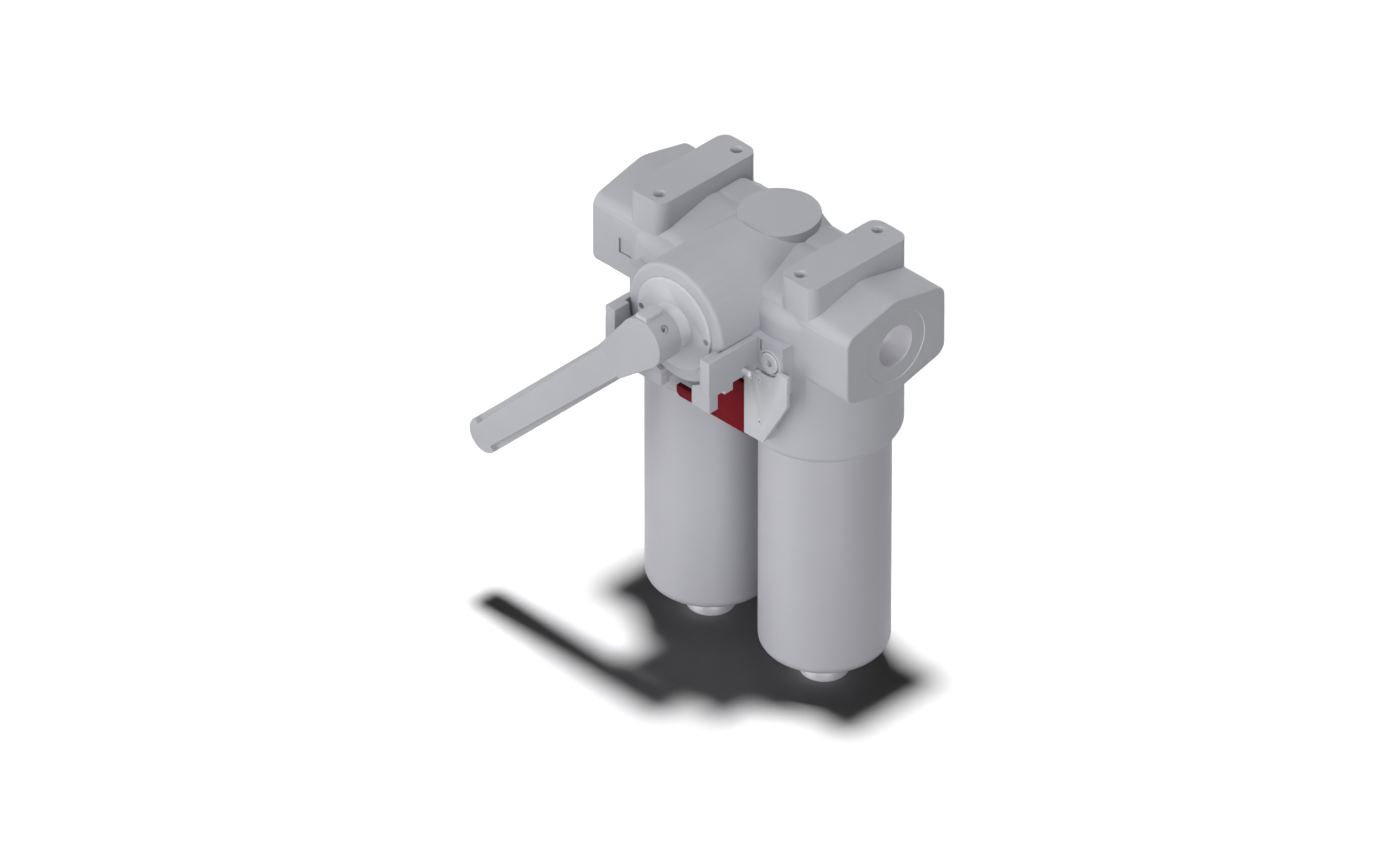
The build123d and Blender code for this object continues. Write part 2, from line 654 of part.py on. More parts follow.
def spindle_seal():
    """Seal in the spindle's groove, inside the collar."""
    return ring_y(SPINDLE_R - SMALL_SEAL_WIRE, SMALL_SEAL_WIRE, spindle_seal_y())


# Changeover lever

def lever_plane(y):
    """Plane whose x runs out along the lever and whose z points to the front, at depth y."""
    angle = radians(LEVER_ANGLE_DEG)
    return Plane(origin=(0, y, VALVE_Z), x_dir=(cos(angle), 0, sin(angle)), z_dir=(0, -1, 0))


def lever():
    """One-piece lever: a round hub, a flared neck and a ribbed bar that thins towards its tip."""
    depth = LEVER_BACK_Y - LEVER_FRONT_Y
    half = BAR_WIDTH / 2
    bar_end = LEVER_LENGTH - half
    arm_length = bar_end - BAR_START
    arm = Pos(BAR_START + arm_length / 2, 0) * Rectangle(arm_length, BAR_WIDTH)
    arm += Pos(bar_end, 0) * Circle(half)
    flare = make_face(Polyline((0, -HUB_R), (FLARE_END, -half), (FLARE_END, half), (0, HUB_R), close=True))
    back_plane = lever_plane(LEVER_BACK_Y)
    bar = extrude(back_plane * (arm + flare), amount=depth)
    bar -= tube_y(HUB_R + 6, HUB_BACK_Y, LEVER_BACK_Y + 1)
    body = bar + tube_y(HUB_R, LEVER_FRONT_Y, HUB_BACK_Y)
    drop = LEVER_TIP_FRONT_Y - LEVER_FRONT_Y
    slope_face = make_face(Polyline((FLARE_END, 0), (LEVER_LENGTH + 5, -drop * 1.03), (LEVER_LENGTH + 5, 9),
                                    (FLARE_END, 9), close=True))
    slope_plane = Plane(origin=lever_plane(LEVER_FRONT_Y).origin, x_dir=lever_plane(LEVER_FRONT_Y).x_dir,
                        z_dir=-lever_plane(LEVER_FRONT_Y).y_dir)
    body -= extrude(slope_plane * slope_face, amount=BAR_WIDTH, both=True)
    body -= rebates()
    body -= grub_bar(GRUB_SCREW_R + RUN_GAP, 0, HUB_R + 2)
    return body - tube_y(SPINDLE_R + RUN_GAP, SPINDLE_FRONT_Y - WASHER_GAP, LEVER_BACK_Y + 1)


def grub_bar(radius, start, end):
    """Round bar through the hub, opposite the lever's arm, between two distances from the axis."""
    angle = radians(LEVER_ANGLE_DEG - 180)
    ends = [(r * cos(angle), GRUB_SCREW_Y, VALVE_Z + r * sin(angle)) for r in (start, end)]
    return bar_between(ends[0], ends[1], radius)


def rebates():
    """Cutters for the two long steps beside the lever's front rib."""
    cutters = None
    start, end = FLARE_END, LEVER_LENGTH - REBATE_TIP_GAP
    plane = lever_plane(LEVER_TIP_FRONT_Y + REBATE_DEPTH)
    for sign in (-1, 1):
        outline = make_face(Polyline((start, sign * RIB_HALF_ROOT), (end, sign * RIB_HALF_TIP),
                                     (end, sign * BAR_WIDTH), (start, sign * BAR_WIDTH), close=True))
        cutter = extrude(plane * outline, amount=20)
        cutters = cutter if cutters is None else cutters + cutter
    return cutters


def pointer():
    """Tongue on top of the hub that shows which bowl is in use."""
    front, back = LEVER_FRONT_Y + 1, LEVER_FRONT_Y + 1 + POINTER_LENGTH
    half = POINTER_WIDTH / 2
    hub_top = VALVE_Z + HUB_R
    tongue = block(-half, half, front, back, hub_top - POINTER_SEAT, hub_top + POINTER_HEIGHT)
    uprights = [e for e in tongue.edges().filter_by(Axis.Z) if e.center().Y > (front + back) / 2]
    tongue = fillet(uprights, POINTER_WIDTH / 2 - 0.6)
    return tongue - tube_y(HUB_R, LEVER_FRONT_Y - 1, LEVER_BACK_Y)


def lever_screw():
    """Grub screw in the hub's side that holds the lever on its spindle."""
    outer = HUB_R - GRUB_SCREW_SUNK
    screw = grub_bar(GRUB_SCREW_R, SPINDLE_R - 1, outer)
    screw -= tube_y(SPINDLE_R + RUN_GAP, SPINDLE_FRONT_Y, LEVER_BACK_Y)
    return screw - grub_bar(GRUB_SOCKET_R, outer - GRUB_SOCKET_DEPTH, outer + 1)


# Stop brackets, guard plates, locking slide and equalising valve

def stop_bracket(name):
    """Bracket beside the barrel whose slanted lower face stops the lever."""
    x0, x1 = STOP_INNER_X, STOP_OUTER_X
    half = BAR_WIDTH / 2 + STOP_CLEAR
    slant = half * sqrt(2)
    inner_z = VALVE_Z - x0 + slant
    outer_z = VALVE_Z - x1 + slant
    points = [(x0, STOP_TOP_Z), (x1, STOP_TOP_Z), (x1, outer_z), (x0, inner_z)]
    profile = make_face(Polyline(*points, close=True))
    lug = extrude(Plane(origin=(0, STOP_FRONT_Y, 0), x_dir=(1, 0, 0), z_dir=(0, 1, 0)) *
                  mirror(profile, about=Plane.XZ), amount=ARM_BACK_Y - STOP_FRONT_Y)
    wall = block(x0, x1, ARM_BACK_Y - 1, PAD_FRONT_Y, STOP_REAR_BOTTOM_Z, STOP_TOP_Z)
    body = lug + wall
    body += stop_arm(ARM_INNER_X[name])
    body -= tube_y(BARREL_R + BARREL_SIDE_GAP, ARM_FRONT_Y - 1, PAD_FRONT_Y + 1)
    return body if SIDES[name] > 0 else mirror(body, about=Plane.YZ)


def stop_arm(inner_x):
    """Arm that reaches under the barrel from a stop bracket."""
    body = block(inner_x, ARM_OUTER_X, ARM_FRONT_Y, ARM_BACK_Y, ARM_BOTTOM_Z, STOP_REAR_BOTTOM_Z)
    return body + block(ARM_OUTER_X - 1, STOP_OUTER_X, ARM_FRONT_Y, ARM_BACK_Y, ARM_ROOT_Z, ARM_TOP_Z)


def guard_plate(side):
    """Plate that screws onto its pad and holds the slide in, with a round cut for the knob's recess."""
    back = PAD_FRONT_Y
    step_z = STOP_REAR_BOTTOM_Z - PLATE_TOP_GAP
    points = [
        (PLATE_INNER_X, PLATE_BOTTOM_Z), (PLATE_FOOT_X, PLATE_BOTTOM_Z), (PLATE_OUTER_X, PLATE_SHOULDER_Z),
        (PLATE_OUTER_X, PLATE_TOP_Z), (KNOB_X, PLATE_TOP_Z), (KNOB_X, step_z), (PLATE_INNER_X, step_z),
    ]
    outline = make_face(Polyline(*points, close=True))
    plane = Plane(origin=(0, back, 0), x_dir=(1, 0, 0), z_dir=(0, -1, 0))
    plate = extrude(plane * outline, amount=PLATE_THICK)
    plate -= tube_y(KNOB_RING_R, back - PLATE_THICK - 1, back + 1, KNOB_X, KNOB_Z)
    for px, pz in plate_screw_places(1):
        plate -= tube_y(SCREW_R + SCREW_HOLE_GAP, back - PLATE_THICK - 1, back + 1, px, pz)
    if side > 0:
        plate -= tube_y(PIN_R, back - PLATE_THICK - 1, back + 1, PIN_X, PIN_Z)
    if side < 0:
        plate = mirror(plate, about=Plane.YZ)
    return plate


def plate_screws(side):
    """Two cap screws through the guard plate."""
    seat = PAD_FRONT_Y - PLATE_THICK
    places = plate_screw_places(side)
    return Compound(children=[socket_screw_y(x, z, seat, PLATE_SCREW_LENGTH) for x, z in places])


def locking_slide():
    """Red slide that is shifted across to guard the bowl that is in use."""
    front = PAD_FRONT_Y + SLIDE_GAP
    plate = block(SLIDE_LEFT_X, SLIDE_RIGHT_X, front, front + SLIDE_THICK, SLIDE_BOTTOM_Z, SLIDE_TOP_Z)
    return fillet(plate.edges().filter_by(Axis.Y), SLIDE_CORNER)


def equalising_knob():
    """Recessed knob of the pressure-equalising valve, with its needle."""
    seat = PAD_FRONT_Y + KNOB_RECESS - WASHER_GAP
    knob = tube_y(KNOB_R, PAD_FRONT_Y - KNOB_PROUD, seat, KNOB_X, KNOB_Z)
    knob = fillet(knob.edges().filter_by(GeomType.CIRCLE).sort_by(Axis.Y)[0], 1.0)
    knob += tube_y(NEEDLE_R, seat - 1, seat + NEEDLE_DEPTH, KNOB_X, KNOB_Z)
    face = PAD_FRONT_Y - KNOB_PROUD
    hexagon = Plane(origin=(KNOB_X, face, KNOB_Z), z_dir=(0, 1, 0)) * RegularPolygon(KNOB_SOCKET_R, 6)
    return knob - extrude(hexagon, amount=KNOB_RECESS)


def plate_pin():
    """Locating pin with a round end that stands out of the right guard plate."""
    front = PAD_FRONT_Y - PLATE_THICK - PIN_PROUD
    pin = tube_y(PIN_R, front, PAD_FRONT_Y + PIN_DEPTH, PIN_X, PIN_Z)
    return fillet(pin.edges().filter_by(GeomType.CIRCLE).sort_by(Axis.Y)[0], 1.0)


def sub_parts():
    """Every sub-part of the strainer by its name."""
    parts = {
        "head_casting": head_casting(),
        "front_cover": front_cover(),
        "front_cover_seal": cover_seal(),
        "thrust_washer": thrust_washer(),
        "valve_plug": valve_plug(),
        "valve_spindle": spindle(),
        "spindle_seal": spindle_seal(),
        "changeover_lever": lever(),
        "lever_screw": lever_screw(),
        "position_pointer": pointer(),
        "locking_slide": locking_slide(),
        "equalising_knob": equalising_knob(),
        "guard_plate_pin": plate_pin(),
    }
    for name, side in SIDES.items():
        parts["stop_bracket_" + name] = stop_bracket(name)
        parts["guard_plate_" + name] = guard_plate(side)
        parts["guard_plate_screws_" + name] = plate_screws(side)
        parts["bowl_" + name] = bowl(side)
        parts["bowl_seal_" + name] = bowl_seal(side)
        parts["element_spigot_" + name] = spigot(side)
        parts["element_top_cap_" + name] = top_cap(side)
        parts["element_cap_seal_" + name] = cap_seal(side)
        parts["element_media_" + name] = element_media(side)
        parts["element_core_" + name] = element_core(side)
        parts["element_bottom_cap_" + name] = bottom_cap(side)
        parts["drain_plug_" + name] = drain_plug(side)
        parts["drain_seal_" + name] = drain_seal(side)
    return parts


os.makedirs("parts", exist_ok=True)
for node, shape in sub_parts().items():
    export_step(shape, f"parts/{node}.step")
    print(node, round(shape.volume))
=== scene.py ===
"""Dresses the duplex strainer: soft-edged castings and plates, finishes, studio and camera.

Every length is in metres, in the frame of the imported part. The origin is the centre of the four
mounting holes, +Z is up, +X runs to the outlet port and -Y is the lever's side.
"""
from __future__ import annotations

import json
import logging
import math
from collections.abc import Callable
from dataclasses import dataclass, field
from enum import Enum

import bpy
from mathutils import Matrix, Vector

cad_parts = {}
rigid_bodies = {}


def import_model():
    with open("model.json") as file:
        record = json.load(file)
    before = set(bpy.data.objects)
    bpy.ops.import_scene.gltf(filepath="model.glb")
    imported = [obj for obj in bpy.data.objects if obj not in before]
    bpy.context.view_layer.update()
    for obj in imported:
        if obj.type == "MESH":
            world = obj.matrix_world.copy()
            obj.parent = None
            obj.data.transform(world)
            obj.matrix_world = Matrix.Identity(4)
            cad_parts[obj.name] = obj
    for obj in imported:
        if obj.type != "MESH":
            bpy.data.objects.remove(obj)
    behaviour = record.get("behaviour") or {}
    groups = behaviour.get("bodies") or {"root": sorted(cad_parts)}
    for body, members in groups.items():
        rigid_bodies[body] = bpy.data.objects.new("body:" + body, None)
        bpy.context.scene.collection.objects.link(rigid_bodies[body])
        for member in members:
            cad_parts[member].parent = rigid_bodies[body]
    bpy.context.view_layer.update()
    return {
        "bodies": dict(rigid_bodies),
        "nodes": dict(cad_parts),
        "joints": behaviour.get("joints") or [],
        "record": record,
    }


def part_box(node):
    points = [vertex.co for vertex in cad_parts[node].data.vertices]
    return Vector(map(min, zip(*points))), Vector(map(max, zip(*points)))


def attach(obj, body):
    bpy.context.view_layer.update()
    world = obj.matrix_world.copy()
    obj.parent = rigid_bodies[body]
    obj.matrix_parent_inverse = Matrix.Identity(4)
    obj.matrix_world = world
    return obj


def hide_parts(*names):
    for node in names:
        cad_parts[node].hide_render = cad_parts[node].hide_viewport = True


LOG = logging.getLogger("strainer")
MM = 0.001

# In a copied mesh, corners this close are one and faces within this many degrees are one face.
MERGE_DISTANCE = 0.002 * MM
FLAT_ANGLE = 0.6
# Edges sharper than this, in degrees, are rounded, with this many faces across.
EDGE_ANGLE = 35.0
EDGE_SEGMENTS = 2
# Cosines between a face's normal and a direction: above the first it looks that way, below the second
# it lies along it.
SAME_WAY = 0.99
SQUARE = 0.1

Colour = tuple[float, float, float]
Point = tuple[float, float, float]
Shape = Callable[[bpy.types.Object], None]


class Side(Enum):
    """The two bowls, as seen from the lever's side."""

    LEFT = "left"
    RIGHT = "right"

    @property
    def sign(self) -> int:
        """-1 on the left and +1 on the right."""
        return -1 if self is Side.LEFT else 1


class Axis(Enum):
    """The row's axes, as unit vectors."""

    X = (1.0, 0.0, 0.0)
    Y = (0.0, 1.0, 0.0)
    Z = (0.0, 0.0, 1.0)

    @property
    def vector(self) -> Vector:
        """The axis as a vector."""
        return Vector(self.value)

    @property
    def turn(self) -> Point:
        """The Euler rotation that lays an upright piece along the axis."""
        return {"X": (0.0, math.pi / 2, 0.0), "Y": (math.pi / 2, 0.0, 0.0), "Z": (0.0, 0.0, 0.0)}[self.name]


class Grain(Enum):
    """How a surface was made, which sets its fine relief."""

    CAST = "cast"
    TURNED = "turned"
    DRAWN = "drawn"
    GROUND = "ground"
    LACQUERED = "lacquered"
    MOULDED = "moulded"
    FIBRE = "fibre"


@dataclass(frozen=True)
class Relief:
    """The noise behind a grain.

    Its depth is in metres and its scales are features in a metre. A slow scale adds a second, coarser noise.
    """

    depth: float
    scale: float
    detail: float
    stretch: Point = (1.0, 1.0, 1.0)
    slow_scale: float = 0.0


RELIEFS = {
    Grain.CAST: Relief(0.25 * MM, 1100.0, 5.0, slow_scale=260.0),
    Grain.TURNED: Relief(0.03 * MM, 2400.0, 4.0),
    Grain.DRAWN: Relief(0.05 * MM, 1.0, 3.0, stretch=(12.0, 12.0, 1800.0)),
    Grain.GROUND: Relief(0.04 * MM, 1.0, 3.0, stretch=(1600.0, 60.0, 60.0)),
    Grain.LACQUERED: Relief(0.12 * MM, 480.0, 2.0),
    Grain.MOULDED: Relief(0.06 * MM, 900.0, 2.0),
    Grain.FIBRE: Relief(0.2 * MM, 2500.0, 4.0),
}
SLOW_DETAIL = 2.0


@dataclass
class NodeTree:
    """A small helper that adds and links shader nodes."""

    tree: bpy.types.NodeTree
    noise_low: float = 0.3
    noise_high: float = 0.7

    def add(self, kind: str, **values: object) -> bpy.types.Node:
        """Adds a node and sets its properties.

        Args:
            kind: the node's type, without the leading ShaderNode.
            values: properties of the node.

        Returns:
            The new node.
        """
        node = self.tree.nodes.new("ShaderNode" + kind)
        for key, value in values.items():
            setattr(node, key, value)
        return node

    def join(self, source: bpy.types.NodeSocket, target: bpy.types.NodeSocket) -> None:
        """Links two sockets."""
        self.tree.links.new(source, target)

    def math(self, operation: str, first: bpy.types.NodeSocket, second: float) -> bpy.types.NodeSocket:
        """Applies a math operation to a socket and a number.

        Args:
            operation: the Math node's operation.
            first: the socket that feeds it.
            second: the number in its second input.

        Returns:
            The result's socket.
        """
        node = self.add("Math", operation=operation)
        self.join(first, node.inputs[0])
        node.inputs[1].default_value = second
        return node.outputs[0]

    def noise(self, vector: bpy.types.NodeSocket, scale: float, detail: float) -> bpy.types.NodeSocket:
        """Adds noise on a vector.

        Args:
            vector: the coordinates that it reads.
            scale: how many features there are in a metre.
            detail: its number of octaves.

        Returns:
            The noise value's socket.
        """
        node = self.add("TexNoise")
        node.inputs["Scale"].default_value = scale
        node.inputs["Detail"].default_value = detail
        self.join(vector, node.inputs["Vector"])
        return node.outputs["Fac"]

    def stretch(self, vector: bpy.types.NodeSocket, scale: Point) -> bpy.types.NodeSocket:
        """Scales coordinates unevenly, for lines.

        Args:
            vector: the coordinates.
            scale: the factor along each axis.

        Returns:
            The scaled coordinates' socket.
        """
        mapping = self.add("Mapping")
        mapping.inputs["Scale"].default_value = scale
        self.join(vector, mapping.inputs["Vector"])
        return mapping.outputs["Vector"]

    def span(self, value: bpy.types.NodeSocket, low: float, high: float) -> bpy.types.NodeSocket:
        """Maps noise, which stays near its middle, onto a range.

        Args:
            value: the noise value.
            low: what a low value becomes.
            high: what a high value becomes.

        Returns:
            The mapped value's socket.
        """
        node = self.add("MapRange")
        node.inputs["From Min"].default_value = self.noise_low
        node.inputs["From Max"].default_value = self.noise_high
        node.inputs["To Min"].default_value = low
        node.inputs["To Max"].default_value = high
        self.join(value, node.inputs["Value"])
        return node.outputs["Result"]


@dataclass(frozen=True)
class Finish:
    """One surface finish, with its relief, colour spread and worn edges."""

    name: str
    colour: Colour
    grain: Grain
    roughness: float
    relief: float
    spread: float
    metallic: float = 0.0
    edge_gain: float = 0.12
    edge_radius: float = 0.5 * MM
    edge_samples: int = 6
    edge_contrast: float = -5.0
    specular: float = 0.28
    rough_spread: float = 0.12
    rough_noise: tuple[float, float] = (45.0, 3.0)
    colour_noise: tuple[float, float] = (14.0, 4.0)
    axis: Axis = Axis.Z
    centre: Point = (0.0, 0.0, 0.0)

    def material(self) -> bpy.types.Material:
        """Builds the finish's material.

        Returns:
            The material, with its relief, colour and edges made by nodes.
        """
        material = bpy.data.materials.new(self.name)
        material.use_nodes = True
        nodes = NodeTree(material.node_tree)
        shader = material.node_tree.nodes["Principled BSDF"]
        place = self._place(nodes)
        shader.inputs["Metallic"].default_value = self.metallic
        shader.inputs["Specular IOR Level"].default_value = self.specular
        rounded = nodes.add("Bevel", samples=self.edge_samples)
        rounded.inputs["Radius"].default_value = self.edge_radius
        nodes.join(self._colour(nodes, place, rounded.outputs["Normal"]), shader.inputs["Base Color"])
        cloud = nodes.noise(place, *self.rough_noise)
        low, high = self.roughness * (1 - self.rough_spread), self.roughness * (1 + self.rough_spread)
        nodes.join(nodes.span(cloud, low, high), shader.inputs["Roughness"])
        bump = nodes.add("Bump")
        bump.inputs["Strength"].default_value = self.relief
        bump.inputs["Distance"].default_value = RELIEFS[self.grain].depth
        nodes.join(self._height(nodes, place), bump.inputs["Height"])
        nodes.join(rounded.outputs["Normal"], bump.inputs["Normal"])
        nodes.join(bump.outputs["Normal"], shader.inputs["Normal"])
        return material

    def _place(self, nodes: NodeTree) -> bpy.types.NodeSocket:
        """Gives the object coordinates, moved so that the finish's centre is at zero.

        Args:
            nodes: the material's nodes.

        Returns:
            The coordinates' socket.
        """
        coordinates = nodes.add("TexCoord")
        mapping = nodes.add("Mapping")
        mapping.inputs["Location"].default_value = [-value for value in self.centre]
        nodes.join(coordinates.outputs["Object"], mapping.inputs["Vector"])
        return mapping.outputs["Vector"]

    def _colour(
        self, nodes: NodeTree, place: bpy.types.NodeSocket, rounded: bpy.types.NodeSocket
    ) -> bpy.types.NodeSocket:
        """Mixes the colour's slow spread with the lighter worn edges.

        Args:
            nodes: the material's nodes.
            place: the coordinates.
            rounded: the normal with rounded edges.

        Returns:
            The colour's socket.
        """
        spread = nodes.add("Mix", data_type="RGBA")
        spread.inputs["A"].default_value = (*self._tint(1 - self.spread), 1)
        spread.inputs["B"].default_value = (*self._tint(1 + self.spread), 1)
        nodes.join(nodes.span(nodes.noise(place, *self.colour_noise), 0.0, 1.0), spread.inputs["Factor"])
        geometry = nodes.add("NewGeometry")
        dot = nodes.add("VectorMath", operation="DOT_PRODUCT")
        nodes.join(rounded, dot.inputs[0])
        nodes.join(geometry.outputs["Normal"], dot.inputs[1])
        edge = nodes.math("SUBTRACT", dot.outputs["Value"], 1.0)
        edge = nodes.math("MULTIPLY", edge, self.edge_contrast)
        worn = nodes.add("Mix", data_type="RGBA", clamp_factor=True)
        worn.inputs["B"].default_value = (*self._tint(1 + self.edge_gain), 1)
        nodes.join(spread.outputs["Result"], worn.inputs["A"])
        nodes.join(edge, worn.inputs["Factor"])
        return worn.outputs["Result"]

    def _tint(self, share: float) -> Colour:
        """The colour, lighter or darker by a share."""
        red, green, blue = (min(1.0, value * share) for value in self.colour)
        return red, green, blue

    def _height(self, nodes: NodeTree, place: bpy.types.NodeSocket) -> bpy.types.NodeSocket:
        """Makes the height of the surface's fine relief.

        Args:
            nodes: the material's nodes.
            place: the coordinates.

        Returns:
            The height's socket.
        """
        relief = RELIEFS[self.grain]
        if self.grain is Grain.TURNED:
            place = self._from_axis(nodes, place)
        if relief.stretch != Relief.stretch:
            place = nodes.stretch(place, relief.stretch)
        fine = nodes.noise(place, relief.scale, relief.detail)
        if not relief.slow_scale:
            return fine
        total = nodes.add("Math", operation="ADD")
        nodes.join(fine, total.inputs[0])
        nodes.join(nodes.noise(place, relief.slow_scale, SLOW_DETAIL), total.inputs[1])
        return total.outputs[0]

    def _from_axis(self, nodes: NodeTree, place: bpy.types.NodeSocket) -> bpy.types.NodeSocket:
        """Measures the distance from the finish's axis, on which noise becomes turning marks.

        Args:
            nodes: the material's nodes.
            place: the coordinates.

        Returns:
            A vector's socket, with the distance as its X.
        """
        flat = nodes.add("VectorMath", operation="MULTIPLY")
        flat.inputs[1].default_value = [1.0 - value for value in self.axis.value]
        nodes.join(place, flat.inputs[0])
        length = nodes.add("VectorMath", operation="LENGTH")
        nodes.join(flat.outputs["Vector"], length.inputs[0])
        distance = nodes.add("CombineXYZ")
        nodes.join(length.outputs["Value"], distance.inputs["X"])
        return distance.outputs["Vector"]


GREY = (0.445, 0.451, 0.482)
VALVE_CENTRE = (0.0, 0.0, -47.5 * MM)
PORT_CENTRE = (0.0, 0.0, -50.0 * MM)
CAST_HEAD = Finish("cast_head_finish", GREY, Grain.CAST, roughness=0.56, relief=0.22, spread=0.03)
# The turned grey is lighter than the head's to offset the shade that the lever's hub casts on the cover:
# painted light, shared by the knob and its ring.
TURNED_COVER_PAINTED_LIGHT = Finish("turned_cover_painted_light_finish", (0.530, 0.535, 0.568), Grain.TURNED, roughness=0.42, relief=0.4,
                      spread=0.03, axis=Axis.Y, centre=VALVE_CENTRE)
# Much lighter than the cast grey: partly the bored metal, partly painted light standing in for the light that
# falls into the ports, their spot-face rims and the mounting holes.
BORED_PORT_PAINTED_LIGHT = Finish("bored_port_painted_light_finish", (0.90, 0.90, 0.94), Grain.TURNED, roughness=0.40, relief=0.5,
                    spread=0.03, edge_gain=0.0, axis=Axis.X, centre=PORT_CENTRE)
DRAWN_BOWL = Finish("drawn_bowl_finish", (0.422, 0.422, 0.459), Grain.DRAWN, roughness=0.46, relief=0.35,
                    spread=0.025, metallic=0.05)
CAST_LEVER = Finish("cast_lever_finish", (0.423, 0.428, 0.456), Grain.CAST, roughness=0.48, relief=0.12,
                    spread=0.03, edge_gain=0.18)
BRACKET = Finish("bracket_finish", GREY, Grain.CAST, roughness=0.54, relief=0.15, spread=0.03)
# The plate's grey is lighter than the head's to offset the shade that the stop arm casts on the guard plates:
# painted light, shared by the pointer and the plate screws.
PLATE_PAINTED_LIGHT = Finish("plate_painted_light_finish", (0.510, 0.517, 0.546), Grain.LACQUERED, roughness=0.42, relief=0.25, spread=0.02)
RED_SLIDE = Finish("red_slide_finish", (0.150, 0.006, 0.012), Grain.LACQUERED, roughness=0.55, relief=0.3,
                   spread=0.05, edge_gain=0.3, specular=0.05)
ZINC = Finish("zinc_finish", (0.58, 0.58, 0.605), Grain.GROUND, roughness=0.38, relief=0.3, spread=0.05,
              metallic=0.3)
STEEL = Finish("ground_steel_finish", (0.46, 0.46, 0.47), Grain.GROUND, roughness=0.3, relief=0.4, spread=0.04,
               metallic=0.85)
RUBBER = Finish("rubber_finish", (0.02, 0.02, 0.02), Grain.MOULDED, roughness=0.68, relief=0.3, spread=0.1)
BRONZE = Finish("bronze_finish", (0.42, 0.27, 0.11), Grain.TURNED, roughness=0.34, relief=0.4, spread=0.06,
                metallic=0.9, axis=Axis.Y, centre=VALVE_CENTRE)
COPPER = Finish("copper_finish", (0.40, 0.16, 0.09), Grain.GROUND, roughness=0.36, relief=0.3, spread=0.08,
                metallic=0.9)
BLUE_CAP = Finish("blue_cap_finish", (0.03, 0.06, 0.19), Grain.MOULDED, roughness=0.35, relief=0.3, spread=0.04)
MEDIA = Finish("filter_media_finish", (0.72, 0.70, 0.62), Grain.FIBRE, roughness=0.9, relief=0.6, spread=0.04,
               edge_gain=0.0)


